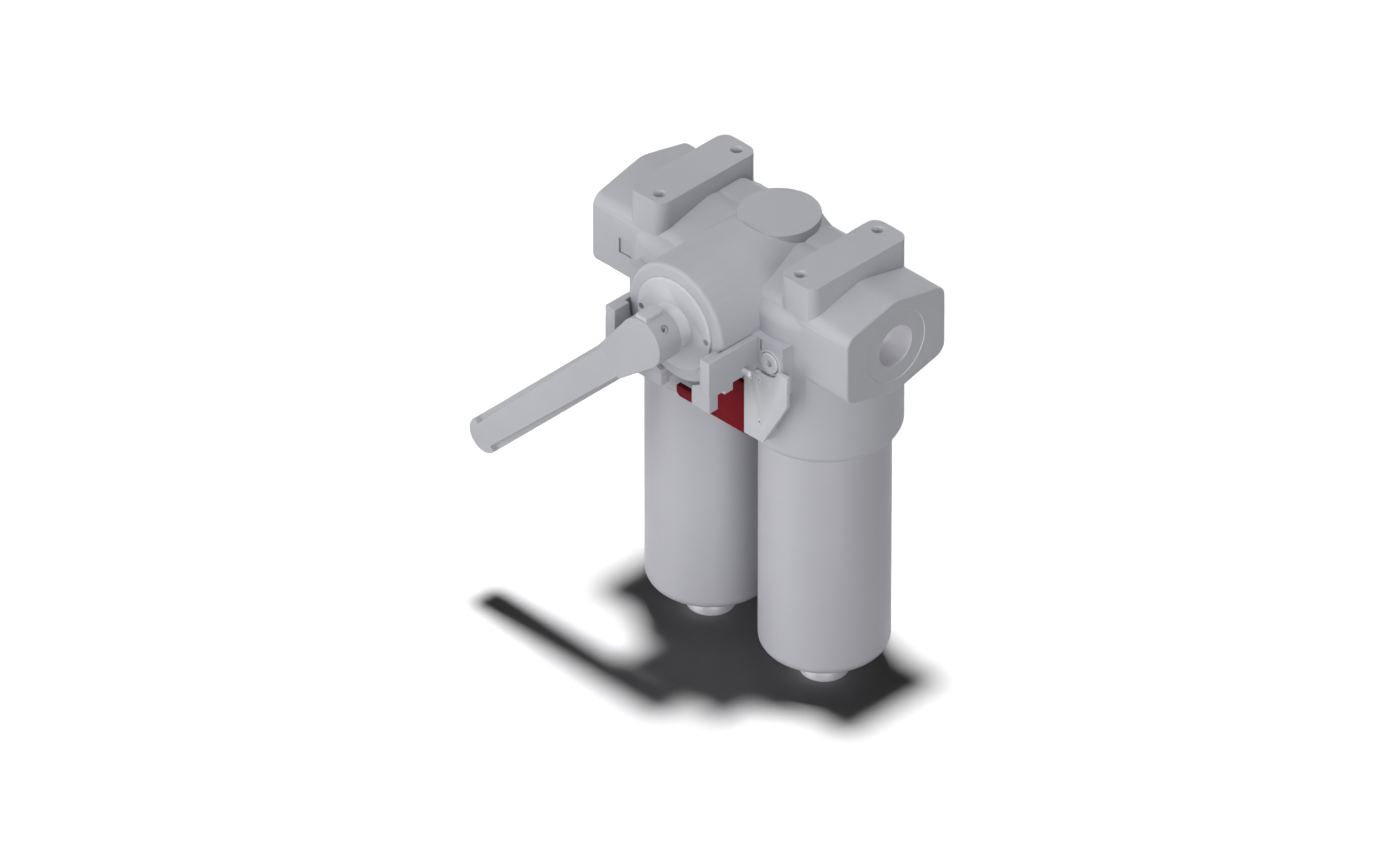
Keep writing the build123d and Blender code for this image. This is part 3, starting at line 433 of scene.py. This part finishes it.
class Bench:
    """Operators on one mesh at a time, as worked by hand."""

    @staticmethod
    def pick(piece: bpy.types.Object) -> None:
        """Deselects everything else and makes one object active.

        Args:
            piece: the object.
        """
        if bpy.context.object and bpy.context.object.mode != "OBJECT":
            bpy.ops.object.mode_set(mode="OBJECT")
        bpy.ops.object.select_all(action="DESELECT")
        piece.select_set(True)
        bpy.context.view_layer.objects.active = piece

    @staticmethod
    def settle(name: str) -> bpy.types.Object:
        """Names the object just added and puts its place into its mesh.

        Args:
            name: its name.

        Returns:
            The object, now at the origin.
        """
        bpy.ops.object.transform_apply(location=True, rotation=True, scale=True)
        piece = bpy.context.object
        piece.name = name
        return piece

    @staticmethod
    def block(name: str, middle: Point, size: Point) -> bpy.types.Object:
        """Adds a block.

        Args:
            name: its name.
            middle: its centre.
            size: its length along each axis.

        Returns:
            The block, with its place in its mesh.
        """
        bpy.ops.object.select_all(action="DESELECT")
        bpy.ops.mesh.primitive_cube_add(size=1, location=middle, scale=size)
        return Bench.settle(name)

    @staticmethod
    def cylinder(
        name: str, middle: Point, radius: float, length: float, axis: Axis, sides: int
    ) -> bpy.types.Object:
        """Adds a cylinder.

        Args:
            name: its name.
            middle: its centre.
            radius: its radius.
            length: its length.
            axis: the axis that it lies along.
            sides: the number of its sides.

        Returns:
            The cylinder, with its place in its mesh.
        """
        bpy.ops.object.select_all(action="DESELECT")
        bpy.ops.mesh.primitive_cylinder_add(
            vertices=sides, radius=radius, depth=length, location=middle, rotation=axis.turn)
        return Bench.settle(name)

    @staticmethod
    def copy_of(node: str, name: str) -> bpy.types.Object:
        """Copies a node's mesh into a new piece and merges its loose triangles.

        Args:
            node: the node's name.
            name: the new piece's name.

        Returns:
            The new piece, still where the node is.
        """
        source = bpy.data.objects[node]
        piece = bpy.data.objects.new(name, source.data.copy())
        bpy.context.scene.collection.objects.link(piece)
        piece.data.materials.clear()
        Bench.pick(piece)
        bpy.ops.object.mode_set(mode="EDIT")
        bpy.ops.mesh.select_all(action="SELECT")
        bpy.ops.mesh.remove_doubles(threshold=MERGE_DISTANCE)
        bpy.ops.mesh.customdata_custom_splitnormals_clear()
        bpy.ops.mesh.dissolve_limited(angle_limit=math.radians(FLAT_ANGLE))
        bpy.ops.object.mode_set(mode="OBJECT")
        return piece

    @staticmethod
    def soften(
        piece: bpy.types.Object, width: float, segments: int = EDGE_SEGMENTS, angle: float = EDGE_ANGLE
    ) -> None:
        """Rounds a piece's sharp edges and shades it smooth between them.

        Args:
            piece: the piece.
            width: the rounding's width in metres.
            segments: the number of faces across it.
            angle: edges sharper than this, in degrees, are rounded.
        """
        Bench.pick(piece)
        if width > 0:
            bevel = piece.modifiers.new("edges", "BEVEL")
            bevel.width = width
            bevel.segments = segments
            bevel.limit_method = "ANGLE"
            bevel.angle_limit = math.radians(angle)
            bevel.miter_outer = "MITER_ARC"
            bevel.use_clamp_overlap = True
            bpy.ops.object.modifier_apply(modifier=bevel.name)
        bpy.ops.object.shade_smooth_by_angle(angle=math.radians(angle))

    @staticmethod
    def sink(piece: bpy.types.Object, facing: Vector, rim: float, depth: float) -> None:
        """Sinks a pocket into the faces that look one way.

        Args:
            piece: the piece.
            facing: the way that the faces look.
            rim: the width left around the pocket.
            depth: the pocket's depth.
        """
        Bench.pick(piece)
        bpy.ops.object.mode_set(mode="EDIT")
        bpy.ops.mesh.select_mode(type="FACE")
        bpy.ops.mesh.select_all(action="DESELECT")
        bpy.ops.object.mode_set(mode="OBJECT")
        for face in piece.data.polygons:
            face.select = face.normal.dot(facing) > SAME_WAY
        bpy.ops.object.mode_set(mode="EDIT")
        bpy.ops.mesh.inset(thickness=rim, depth=0)
        bpy.ops.mesh.extrude_region_move(TRANSFORM_OT_translate={"value": -facing * depth})
        bpy.ops.object.mode_set(mode="OBJECT")

    @staticmethod
    def cut(piece: bpy.types.Object, place: Vector) -> None:
        """Cuts off what lies beyond a plane and closes the cut.

        Args:
            piece: the piece.
            place: from the origin to the plane, square to it; what lies further out goes.
        """
        Bench.pick(piece)
        bpy.ops.object.mode_set(mode="EDIT")
        bpy.ops.mesh.select_all(action="SELECT")
        bpy.ops.mesh.bisect(plane_co=place, plane_no=place.normalized(), use_fill=True, clear_outer=True)
        bpy.ops.object.mode_set(mode="OBJECT")

    @staticmethod
    def carve(piece: bpy.types.Object, cutter: bpy.types.Object) -> None:
        """Takes a cutter's volume out of a piece and clears the cutter away.

        Args:
            piece: the piece.
            cutter: the volume that goes.
        """
        Bench.pick(piece)
        carving = piece.modifiers.new("carving", "BOOLEAN")
        carving.operation = "DIFFERENCE"
        carving.solver = "EXACT"
        carving.object = cutter
        bpy.ops.object.modifier_apply(modifier=carving.name)
        bpy.data.objects.remove(cutter)

    @staticmethod
    def shift(piece: bpy.types.Object, step: Vector) -> None:
        """Moves a piece's mesh and leaves its object at the origin."""
        piece.data.transform(Matrix.Translation(step))

    @staticmethod
    def paint(piece: bpy.types.Object, material: bpy.types.Material) -> None:
        """Gives the whole piece one material."""
        piece.data.materials.clear()
        piece.data.materials.append(material)


@dataclass
class Assembly:
    """A group of pieces on one body, with the finishes that they share."""

    body: str
    materials: dict[Finish, bpy.types.Material] = field(default_factory=dict)

    def finish(self, finish: Finish) -> bpy.types.Material:
        """Gives a finish's material, built once and shared by all assemblies.

        Args:
            finish: the finish.

        Returns:
            Its material.
        """
        if finish not in self.materials:
            self.materials[finish] = finish.material()
        return self.materials[finish]

    def soft_copy(
        self, node: str, slot: str, finish: Finish, width: float, segments: int = EDGE_SEGMENTS,
        shape: Shape | None = None
    ) -> bpy.types.Object:
        """Stands a soft-edged copy in for a node.

        Args:
            node: the node's name.
            slot: the record's material slot.
            finish: the copy's finish.
            width: the width of its rounded edges in metres, or 0 for none.
            segments: the number of faces across a rounded edge.
            shape: what is done to the copy before its edges are rounded, or None.

        Returns:
            The copy.
        """
        piece = Bench.copy_of(node, node + "_piece")
        if shape is not None:
            shape(piece)
        Bench.soften(piece, width, segments)
        self.add_piece(piece, slot, finish)
        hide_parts(node)
        return piece

    def add_piece(self, piece: bpy.types.Object, slot: str, finish: Finish, body: str | None = None) -> None:
        """Paints a piece and mounts it on a body.

        Args:
            piece: the piece.
            slot: the record's material slot; not used.
            finish: its finish.
            body: the body, or None for this assembly's own.
        """
        Bench.paint(piece, self.finish(finish))
        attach(piece, body or self.body)
        LOG.info("%s: %d faces", piece.name, len(piece.data.polygons))

    def dress(self, node: str, finish: Finish) -> None:
        """Gives a node that keeps its own mesh a finish."""
        Bench.paint(bpy.data.objects[node], self.finish(finish))
        LOG.info("%s dressed", node)


@dataclass
class ValveHead(Assembly):
    """The head casting, the cover of its valve bore and the web behind its barrel."""

    body: str = "housing"
    cast_edge: float = 0.0
    cover_edge: float = 0.5 * MM
    web_x: tuple[float, float] = (-58.0 * MM, 58.0 * MM)
    web_y: tuple[float, float] = (4.0 * MM, 34.0 * MM)
    web_z: tuple[float, float] = (-80.0 * MM, -12.0 * MM)
    web_round: float = 7.0 * MM
    web_segments: int = 6
    pocket_middle: Point = (-89.0 * MM, -46.5 * MM, -50.7 * MM)
    pocket_size: Point = (12.0 * MM, 2.6 * MM, 11.6 * MM)
    bowl_x: float = 54.0 * MM
    chamber_radius: float = 53.02 * MM
    chamber_height: float = 13.5 * MM
    chamber_sides: int = 256
    pad_over_middle: Point = (60.0 * MM, -52.0 * MM, -46.2 * MM)
    pad_over_size: Point = (32.0 * MM, 18.0 * MM, 4.5 * MM)
    slit_middle: Point = (51.6 * MM, -59.0 * MM, -53.3 * MM)
    slit_size: Point = (1.5 * MM, 5.0 * MM, 8.2 * MM)
    port_radius: float = 15.6 * MM
    spot_radius: float = 27.0 * MM
    spot_fit: float = 0.2 * MM
    port_depth_x: float = 95.0 * MM
    port_face_x: float = 119.5 * MM
    hole_place: tuple[float, float] = (66.5 * MM, 36.7 * MM)
    hole_radius: float = 4.4 * MM
    hole_top: float = -0.3 * MM
    hole_bottom: float = -25.0 * MM

    def build(self) -> None:
        """Makes the head's pieces."""
        head = self.soft_copy("head_casting", "cast_head", CAST_HEAD, self.cast_edge, shape=self.trim)
        self.machine_bores_with_painted_light(head)
        self.soft_copy("front_cover", "machined_cover", TURNED_COVER_PAINTED_LIGHT, self.cover_edge)
        self.dress("thrust_washer", BRONZE)
        self.dress("front_cover_seal", RUBBER)
        self.rear_web()

    def trim(self, head: bpy.types.Object) -> None:
        """Sinks the blank pocket, lowers the tops of the pads and saws the slit over the knob.

        Args:
            head: the head casting.
        """
        Bench.carve(head, Bench.block("pocket_cutter", self.pocket_middle, self.pocket_size))
        for side in Side:
            Bench.carve(head, self.pad_cutter(side))
        Bench.carve(head, Bench.block("slit_cutter", self.slit_middle, self.slit_size))

    def pad_cutter(self, side: Side) -> bpy.types.Object:
        """Makes the volume over a pad, in front of the round chamber.

        Args:
            side: the pad's side.

        Returns:
            The volume.
        """
        x, y, z = self.pad_over_middle
        over = Bench.block("pad_cutter", (side.sign * x, y, z), self.pad_over_size)
        chamber = Bench.cylinder(
            "chamber_cutter", (side.sign * self.bowl_x, 0.0, z), self.chamber_radius, self.chamber_height,
            Axis.Z, self.chamber_sides)
        Bench.carve(over, chamber)
        return over

    def machine_bores_with_painted_light(self, head: bpy.types.Object) -> None:
        """Gives the ports, the rims of their spot faces and the mounting holes a machined finish. Its light
        colour is partly the machined metal and partly painted light, for the light that falls into them.

        Args:
            head: the head casting.
        """
        head.data.materials.append(self.finish(BORED_PORT_PAINTED_LIGHT))
        machined = [face for face in head.data.polygons if self.is_machined(face)]
        for face in machined:
            face.material_index = len(head.data.materials) - 1
        LOG.info("%d machined faces", len(machined))

    def is_machined(self, face: bpy.types.MeshPolygon) -> bool:
        """Tells whether a face of the head lies in a port, a spot face's rim or a mounting hole.

        Args:
            face: the face.

        Returns:
            True where it does.
        """
        x, y, z = face.center
        port = math.hypot(y, z - PORT_CENTRE[2])
        hole = math.hypot(abs(x) - self.hole_place[0], abs(y) - self.hole_place[1])
        bored = self.port_depth_x < abs(x) < self.port_face_x and port < self.port_radius
        rim = abs(face.normal.x) < SQUARE and abs(port - self.spot_radius) < self.spot_fit
        drilled = hole < self.hole_radius and self.hole_bottom < z < self.hole_top
        return bored or rim or drilled

    def rear_web(self) -> None:
        """Casts the web that joins the two chambers behind the valve barrel."""
        (x0, x1), (y0, y1), (z0, z1) = self.web_x, self.web_y, self.web_z
        middle = ((x0 + x1) / 2, (y0 + y1) / 2, (z0 + z1) / 2)
        web = Bench.block("rear_web", middle, (x1 - x0, y1 - y0, z1 - z0))
        Bench.soften(web, self.web_round, self.web_segments)
        self.add_piece(web, "cast_head", CAST_HEAD)


@dataclass
class Bowl(Assembly):
    """One screw-in bowl, its drain plug and the element inside it."""

    body: str = "housing"
    side: Side = Side.LEFT
    rim_edge: float = 0.4 * MM

    def build(self) -> None:
        """Makes the bowl's pieces."""
        side = self.side.value
        self.soft_copy("bowl_" + side, "bowl_tube", DRAWN_BOWL, self.rim_edge)
        self.soft_copy("drain_plug_" + side, "drain_steel", ZINC, self.rim_edge)
        self.dress("drain_seal_" + side, COPPER)
        for node in ("bowl_seal_", "element_cap_seal_"):
            self.dress(node + side, RUBBER)
        for node in ("element_spigot_", "element_core_"):
            self.dress(node + side, STEEL)
        for node in ("element_top_cap_", "element_bottom_cap_"):
            self.dress(node + side, BLUE_CAP)
        self.dress("element_media_" + side, MEDIA)


@dataclass
class ChangeoverLever(Assembly):
    """The lever and what turns with it."""

    body: str = "lever"
    bar_edge: float = 1.1 * MM
    bar_segments: int = 3
    pointer_edge: float = 0.5 * MM
    screw_edge: float = 0.2 * MM

    def build(self) -> None:
        """Makes the lever's pieces."""
        self.soft_copy("changeover_lever", "cast_lever", CAST_LEVER, self.bar_edge, self.bar_segments)
        self.soft_copy("position_pointer", "machined_cover", PLATE_PAINTED_LIGHT, self.pointer_edge)
        self.soft_copy("lever_screw", "plated_screws", ZINC, self.screw_edge)
        for node in ("valve_spindle", "valve_plug"):
            self.soft_copy(node, "valve_steel", STEEL, 0.0)
        self.dress("spindle_seal", RUBBER)


@dataclass
class Guard(Assembly):
    """Stop brackets, guard plates and their screws, pin and stud."""

    body: str = "housing"
    plate_edge: float = 0.45 * MM
    bracket_edge: float = 0.6 * MM
    pin_edge: float = 0.3 * MM
    left_plate_end: float = -64.0 * MM
    pin_front: float = -63.0 * MM
    arm_trim_middle: Point = (37.4 * MM, -86.5 * MM, -92.0 * MM)
    arm_trim_size: Point = (5.2 * MM, 10.0 * MM, 24.0 * MM)
    stud_middle: Point = (52.3 * MM, -72.9 * MM, -69.1 * MM)
    stud_radius: float = 2.2 * MM
    stud_length: float = 9.0 * MM
    stud_sides: int = 48
    stud_round: float = 1.76 * MM
    stud_segments: int = 6
    stud_angle: float = 60.0
    screw_places: tuple[tuple[float, float], ...] = ((53.0 * MM, -80.0 * MM), (54.0 * MM, -113.5 * MM))
    screw_radius: float = 2.9 * MM
    screw_depth: float = 2.4 * MM
    screw_sides: int = 40
    screw_proud: float = 0.25 * MM
    screw_edge: float = 0.15 * MM
    socket_radius: float = 0.9 * MM
    socket_depth: float = 1.2 * MM

    def build(self) -> None:
        """Makes the fixed guard's pieces."""
        for side, arm, plate in ((Side.LEFT, None, self.shorten_plate), (Side.RIGHT, self.trim_arm, None)):
            self.soft_copy("stop_bracket_" + side.value, "bracket_steel", BRACKET, self.bracket_edge, shape=arm)
            self.soft_copy("guard_plate_" + side.value, "plate_steel", PLATE_PAINTED_LIGHT, self.plate_edge, shape=plate)
            self.flush_screws(side)
        self.soft_copy("guard_plate_pin", "valve_steel", ZINC, self.pin_edge, shape=self.shorten_pin)
        self.bracket_stud()

    def shorten_plate(self, plate: bpy.types.Object) -> None:
        """Cuts off the left plate's outer end, which the photograph doesn't show."""
        Bench.cut(plate, Vector((self.left_plate_end, 0.0, 0.0)))

    def shorten_pin(self, pin: bpy.types.Object) -> None:
        """Cuts the locating pin down, so that it stands only a little proud."""
        Bench.cut(pin, Vector((0.0, self.pin_front, 0.0)))

    def trim_arm(self, bracket: bpy.types.Object) -> None:
        """Planes the right stop arm in line with its bracket, as the camera sees them."""
        Bench.carve(bracket, Bench.block("arm_cutter", self.arm_trim_middle, self.arm_trim_size))

    def bracket_stud(self) -> None:
        """Adds the round-ended stud on the side of the right bracket."""
        stud = Bench.cylinder(
            "bracket_stud", self.stud_middle, self.stud_radius, self.stud_length, Axis.X, self.stud_sides)
        Bench.soften(stud, self.stud_round, self.stud_segments, self.stud_angle)
        self.add_piece(stud, "valve_steel", ZINC)

    def flush_screws(self, side: Side) -> None:
        """Sinks the guard plate's two screws almost flush, as the real ones sit.

        Args:
            side: the plate's side.
        """
        node = "guard_plate_screws_" + side.value
        low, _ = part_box("guard_plate_" + side.value)
        front_y = low[1] - self.screw_proud
        heads = [self.screw_head(side.sign * x, front_y, z) for x, z in self.screw_places]
        bpy.ops.object.select_all(action="DESELECT")
        for head in heads:
            head.select_set(True)
        bpy.context.view_layer.objects.active = heads[0]
        bpy.ops.object.join()
        screws = bpy.context.object
        screws.name = node + "_piece"
        Bench.soften(screws, self.screw_edge)
        self.add_piece(screws, "plated_screws", PLATE_PAINTED_LIGHT)
        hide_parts(node)

    def screw_head(self, x: float, front_y: float, z: float) -> bpy.types.Object:
        """Turns one countersunk head with its socket.

        Args:
            x: its place across.
            front_y: the face of its head.
            z: its height.

        Returns:
            The head.
        """
        middle = (x, front_y + self.screw_depth / 2, z)
        head = Bench.cylinder(
            "screw_head", middle, self.screw_radius, self.screw_depth, Axis.Y, self.screw_sides)
        Bench.sink(head, -Axis.Y.vector, self.screw_radius - self.socket_radius, self.socket_depth)
        return head


@dataclass
class LockingSlide(Assembly):
    """The red slide between the guard plates."""

    body: str = "slide"
    slide_edge: float = 0.4 * MM
    drop: float = 2.2 * MM
    shoulder_middle: Point = (-18.0 * MM, -57.0 * MM, -106.0 * MM)
    shoulder_size: Point = (28.0 * MM, 10.0 * MM, 40.0 * MM)
    foot_middle: Point = (45.2 * MM, -57.0 * MM, -134.0 * MM)
    foot_size: Point = (12.0 * MM, 10.0 * MM, 6.0 * MM)

    def build(self) -> None:
        """Makes the slide."""
        self.soft_copy("locking_slide", "red_slide", RED_SLIDE, self.slide_edge, shape=self.lower)

    def lower(self, slide: bpy.types.Object) -> None:
        """Lowers the slide a little, then cuts its left shoulder and its foot behind the right plate.

        Args:
            slide: the slide.
        """
        Bench.shift(slide, Vector((0.0, 0.0, -self.drop)))
        Bench.carve(slide, Bench.block("shoulder_cutter", self.shoulder_middle, self.shoulder_size))
        Bench.carve(slide, Bench.block("foot_cutter", self.foot_middle, self.foot_size))


@dataclass
class EqualisingValve(Assembly):
    """The recessed knob of the pressure-equalising valve and the gland ring round it."""

    body: str = "knob"
    knob_edge: float = 0.35 * MM
    ring_outer: float = 9.9 * MM
    ring_inner: float = 8.1 * MM
    ring_front: float = -59.4 * MM
    ring_depth: float = 1.6 * MM
    ring_sides: int = 72
    ring_edge: float = 0.25 * MM

    def build(self) -> None:
        """Makes the knob and its ring."""
        self.soft_copy("equalising_knob", "machined_cover", TURNED_COVER_PAINTED_LIGHT, self.knob_edge)
        self.gland_ring()

    def gland_ring(self) -> None:
        """Turns the thin ring that the knob turns in, which stays on the housing."""
        low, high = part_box("equalising_knob")
        x, z = (low[0] + high[0]) / 2, (low[2] + high[2]) / 2
        bpy.ops.object.select_all(action="DESELECT")
        bpy.ops.mesh.primitive_circle_add(
            vertices=self.ring_sides, radius=self.ring_outer, location=(x, self.ring_front, z),
            rotation=Axis.Y.turn)
        ring = Bench.settle("knob_gland_ring")
        share = self.ring_inner / self.ring_outer
        bpy.ops.object.mode_set(mode="EDIT")
        bpy.ops.mesh.select_all(action="SELECT")
        bpy.ops.mesh.extrude_edges_move()
        bpy.ops.transform.resize(value=(share, 1, share), center_override=(x, self.ring_front, z))
        bpy.ops.mesh.select_all(action="SELECT")
        bpy.ops.mesh.extrude_region_move(TRANSFORM_OT_translate={"value": (0, self.ring_depth, 0)})
        bpy.ops.mesh.select_all(action="SELECT")
        bpy.ops.mesh.normals_make_consistent(inside=False)
        bpy.ops.object.mode_set(mode="OBJECT")
        Bench.soften(ring, self.ring_edge)
        self.add_piece(ring, "machined_cover", TURNED_COVER_PAINTED_LIGHT, body="housing")


@dataclass(frozen=True)
class Sun:
    """One sun.

    Its level is the share of its own colour at which a face turned to it shows, its direction runs
    from the object to it, and its spread in degrees softens its shadow.
    """

    name: str
    level: float
    towards: Point
    spread: float

    def hang(self) -> bpy.types.Object:
        """Adds the sun to the scene.

        Returns:
            The sun's object.
        """
        data = bpy.data.lights.new(self.name, "SUN")
        data.energy = math.pi * self.level
        data.angle = math.radians(self.spread)
        lamp = bpy.data.objects.new(self.name, data)
        lamp.rotation_mode = "QUATERNION"
        lamp.rotation_quaternion = Vector(self.towards).to_track_quat("Z", "Y")
        bpy.context.scene.collection.objects.link(lamp)
        return lamp


TOP_SUN = Sun("top_sun", level=0.46, towards=Axis.Z.value, spread=7.0)
FLOOR_SUN = Sun("floor_sun", level=2.3, towards=Axis.Z.value, spread=7.0)
FILL_SUNS = (
    Sun("front_sun", level=0.66, towards=(-0.45, -1.0, 0.12), spread=75.0),
    Sun("side_sun", level=0.49, towards=(1.0, -0.6, 0.16), spread=50.0),
    Sun("left_sun", level=0.14, towards=(-1.0, -0.3, 0.10), spread=60.0),
    Sun("back_sun", level=0.30, towards=(-0.3, 1.0, 0.15), spread=60.0),
    Sun("sky_sun", level=0.06, towards=Axis.Z.value, spread=150.0),
)


@dataclass
class Studio:
    """Camera, floor and lights. The picture's scale holds at scaled_at_z, near the middle of the height."""

    azimuth: float = 45.0
    elevation: float = 35.264
    pixels_per_mm: float = 1.489
    frame_pixels: tuple[int, int] = (1400, 858)
    origin_pixel: tuple[float, float] = (768.0, 212.8)
    lens: float = 600.0
    scaled_at_z: float = -0.15
    clip_share: float = 4.0
    floor_side: float = 12.0
    floor_z: float = -0.3485
    floor_grey: float = 0.079
    floor_seen: float = 0.40
    sky_strength: float = 0.03
    white: float = 1.0

    def build(self) -> None:
        """Sets up the studio."""
        self._camera()
        floor = self._floor()
        self._world()
        TOP_SUN.hang()
        for sun in FILL_SUNS:
            self._keep_off(sun.hang(), floor)
        self._only_on(FLOOR_SUN.hang(), floor)
        bpy.context.scene.view_settings.view_transform = "Standard"

    def _axes(self) -> tuple[Vector, Vector, Vector]:
        """Works out how the camera stands.

        Returns:
            Its right, up and backward directions.
        """
        turn, tilt = math.radians(self.azimuth), math.radians(self.elevation)
        right = Vector((math.cos(turn), math.sin(turn), 0.0))
        back = Vector((math.sin(turn) * math.cos(tilt), -math.cos(turn) * math.cos(tilt), math.sin(tilt)))
        return right, back.cross(right), back

    def _camera(self) -> None:
        """Places a long-lens camera, because the photograph's view is all but parallel."""
        right, up, back = self._axes()
        width, height = self.frame_pixels
        scale = MM / self.pixels_per_mm
        aim = right * ((width / 2 - self.origin_pixel[0]) * scale)
        aim += up * ((self.origin_pixel[1] - height / 2) * scale)
        data = bpy.data.cameras.new("camera")
        data.lens = self.lens
        distance = width * scale * self.lens / data.sensor_width
        data.clip_end = distance * self.clip_share
        camera = bpy.data.objects.new("camera", data)
        bpy.context.scene.collection.objects.link(camera)
        turn = Matrix((right, up, back)).transposed().to_4x4()
        middle = Vector((0.0, 0.0, self.scaled_at_z)).dot(back)
        camera.matrix_world = Matrix.Translation(aim + back * (distance + middle)) @ turn
        bpy.context.scene.camera = camera

    def _floor(self) -> bpy.types.Object:
        """Lays the pale floor, which is white to the camera and keeps the shadow.

        Returns:
            The floor.
        """
        bpy.ops.mesh.primitive_plane_add(size=self.floor_side, location=(0.0, 0.0, self.floor_z))
        floor = bpy.context.object
        floor.name = "floor"
        material = bpy.data.materials.new("floor_paint")
        material.use_nodes = True
        nodes = NodeTree(material.node_tree)
        material.node_tree.nodes.remove(material.node_tree.nodes["Principled BSDF"])
        paint = nodes.add("BsdfDiffuse")
        path = nodes.add("LightPath")
        seen = nodes.add("Math", operation="MAXIMUM")
        nodes.join(path.outputs["Is Camera Ray"], seen.inputs[0])
        nodes.join(path.outputs["Is Glossy Ray"], seen.inputs[1])
        shade = nodes.add("MapRange")
        shade.inputs["To Min"].default_value = self.floor_grey
        shade.inputs["To Max"].default_value = self.floor_seen
        nodes.join(seen.outputs[0], shade.inputs["Value"])
        nodes.join(shade.outputs["Result"], paint.inputs["Color"])
        nodes.join(paint.outputs["BSDF"], material.node_tree.nodes["Material Output"].inputs["Surface"])
        Bench.paint(floor, material)
        return floor

    def _keep_off(self, lamp: bpy.types.Object, floor: bpy.types.Object) -> None:
        """Keeps a fill light and the floor apart, so that the shadow under the object stays.

        Args:
            lamp: the light.
            floor: the floor.
        """
        apart = bpy.data.collections.new(lamp.name + "_apart")
        apart.objects.link(floor)
        lamp.light_linking.receiver_collection = apart
        lamp.light_linking.blocker_collection = apart
        apart.collection_objects[0].light_linking.link_state = "EXCLUDE"

    def _only_on(self, lamp: bpy.types.Object, floor: bpy.types.Object) -> None:
        """Lets a light fall on the floor alone, where the object still shades it.

        Args:
            lamp: the light.
            floor: the floor.
        """
        lit = bpy.data.collections.new(lamp.name + "_receivers")
        lit.objects.link(floor)
        lamp.light_linking.receiver_collection = lit

    def _world(self) -> None:
        """Lights the room evenly and shows white behind the floor."""
        world = bpy.data.worlds.new("room")
        world.use_nodes = True
        bpy.context.scene.world = world
        nodes = NodeTree(world.node_tree)
        background = world.node_tree.nodes["Background"]
        path = nodes.add("LightPath")
        strength = nodes.add("MapRange")
        strength.inputs["To Min"].default_value = self.sky_strength
        strength.inputs["To Max"].default_value = self.white
        nodes.join(path.outputs["Is Camera Ray"], strength.inputs["Value"])
        nodes.join(strength.outputs["Result"], background.inputs["Strength"])
        background.inputs["Color"].default_value = (self.white, self.white, self.white, 1)


def main() -> None:
    """Dresses every sub-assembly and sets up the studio."""
    logging.basicConfig(level=logging.INFO, format="%(message)s")
    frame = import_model()
    LOG.info("%d entries in the packed frame", len(frame))
    materials: dict[Finish, bpy.types.Material] = {}
    assemblies: list[Assembly] = [
        ValveHead(materials=materials),
        Bowl(materials=materials, side=Side.LEFT),
        Bowl(materials=materials, side=Side.RIGHT),
        ChangeoverLever(materials=materials),
        Guard(materials=materials),
        LockingSlide(materials=materials),
        EqualisingValve(materials=materials),
    ]
    for assembly in assemblies:
        assembly.build()
    Studio().build()


if __name__ == "__main__":
    main()
